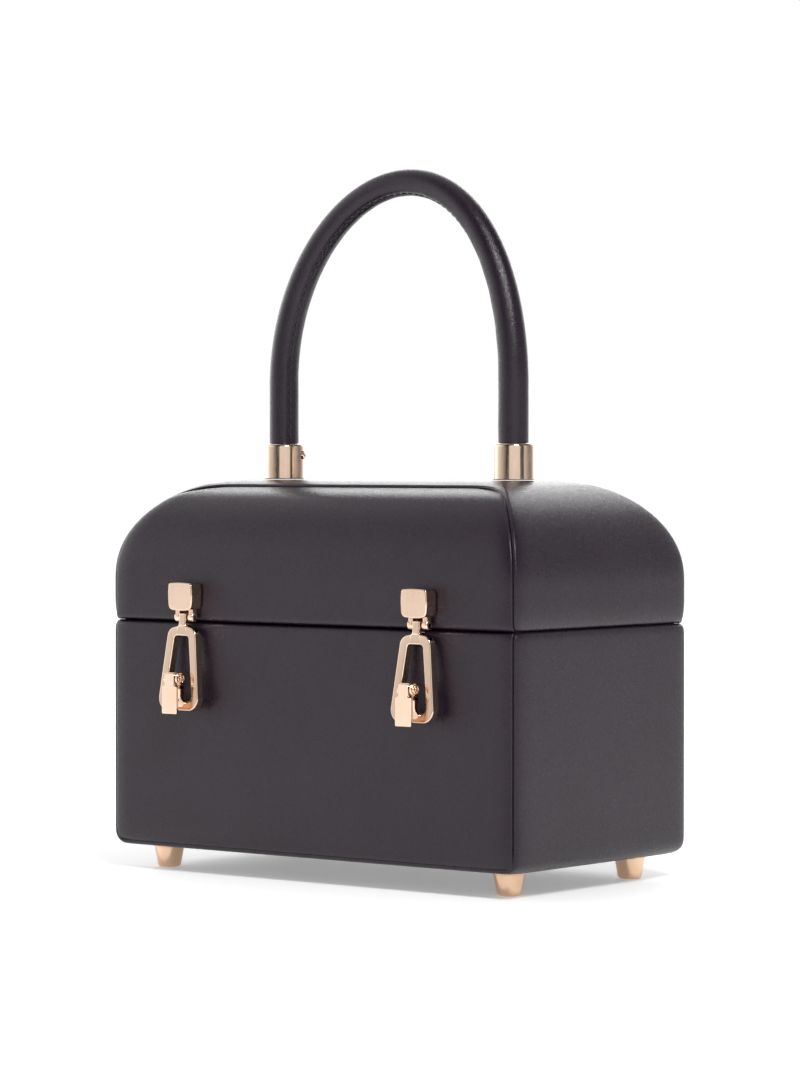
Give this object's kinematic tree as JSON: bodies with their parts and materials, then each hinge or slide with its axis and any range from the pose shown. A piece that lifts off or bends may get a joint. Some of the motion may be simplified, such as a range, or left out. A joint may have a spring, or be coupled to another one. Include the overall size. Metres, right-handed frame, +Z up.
{
  "type": "handbag",
  "caption": "Small hard box handbag of black leather with a domed hinged lid, a rigid rolled handle in metal ferrules, flip latches on the front and metal feet.",
  "frame": {"origin": "on the floor under the feet, at the middle of the outer box", "axes": "+Z up, +X to the right as the front is looked at, -Y to the front with the latches"},
  "size_m": [0.2, 0.1276, 0.2751],
  "materials": {
    "leather": "black smooth fine-grain leather with a soft sheen",
    "rose_gold": "polished rose gold plate",
    "foot_gold": "satin brassy gold plate"
  },
  "bodies": {
    "base": {"base_front_panel": "leather", "base_back_panel": "leather", "base_gusset": "leather", "base_lip": "leather", "foot_front_left": "foot_gold", "foot_front_right": "foot_gold", "foot_back_left": "foot_gold", "foot_back_right": "foot_gold", "keeper_left": "rose_gold", "keeper_right": "rose_gold", "rear_hinge_base_left": "rose_gold", "rear_hinge_base_right": "rose_gold", "rear_hinge_pin_left": "rose_gold", "rear_hinge_pin_right": "rose_gold"},
    "lid": {"lid_front_panel": "leather", "lid_back_panel": "leather", "lid_gusset": "leather", "handle": "leather", "ferrule_left": "rose_gold", "ferrule_right": "rose_gold", "ferrule_screw_left": "rose_gold", "ferrule_screw_right": "rose_gold", "latch_block_left": "rose_gold", "latch_block_right": "rose_gold", "hasp_pin_left": "rose_gold", "hasp_pin_right": "rose_gold", "rear_hinge_lid_left": "rose_gold", "rear_hinge_lid_right": "rose_gold"},
    "hasp_left": {"hasp_left": "rose_gold", "lever_pin_left": "rose_gold"},
    "hasp_right": {"hasp_right": "rose_gold", "lever_pin_right": "rose_gold"},
    "lever_left": {"lever_left": "rose_gold"},
    "lever_right": {"lever_right": "rose_gold"}
  },
  "joints": [
    {"name": "lid_hinge", "type": "hinge", "parent": "base", "child": "lid", "pos_m": [0, 0.062, 0.0982], "axis": [-1, 0, 0], "range_deg": [0, 100]},
    {"name": "hasp_left_swing", "type": "hinge", "parent": "lid", "child": "hasp_left", "pos_m": [-0.0578, -0.0538, 0.1001], "axis": [-1, 0, 0], "range_deg": [0, 90]},
    {"name": "hasp_right_swing", "type": "hinge", "parent": "lid", "child": "hasp_right", "pos_m": [0.0578, -0.0538, 0.1001], "axis": [-1, 0, 0], "range_deg": [0, 90]},
    {"name": "lever_left_flip", "type": "hinge", "parent": "hasp_left", "child": "lever_left", "pos_m": [-0.0578, -0.06075, 0.0765], "axis": [-1, 0, 0], "range_deg": [0, 110]},
    {"name": "lever_right_flip", "type": "hinge", "parent": "hasp_right", "child": "lever_right", "pos_m": [0.0578, -0.06075, 0.0765], "axis": [-1, 0, 0], "range_deg": [0, 110]}
  ]
}
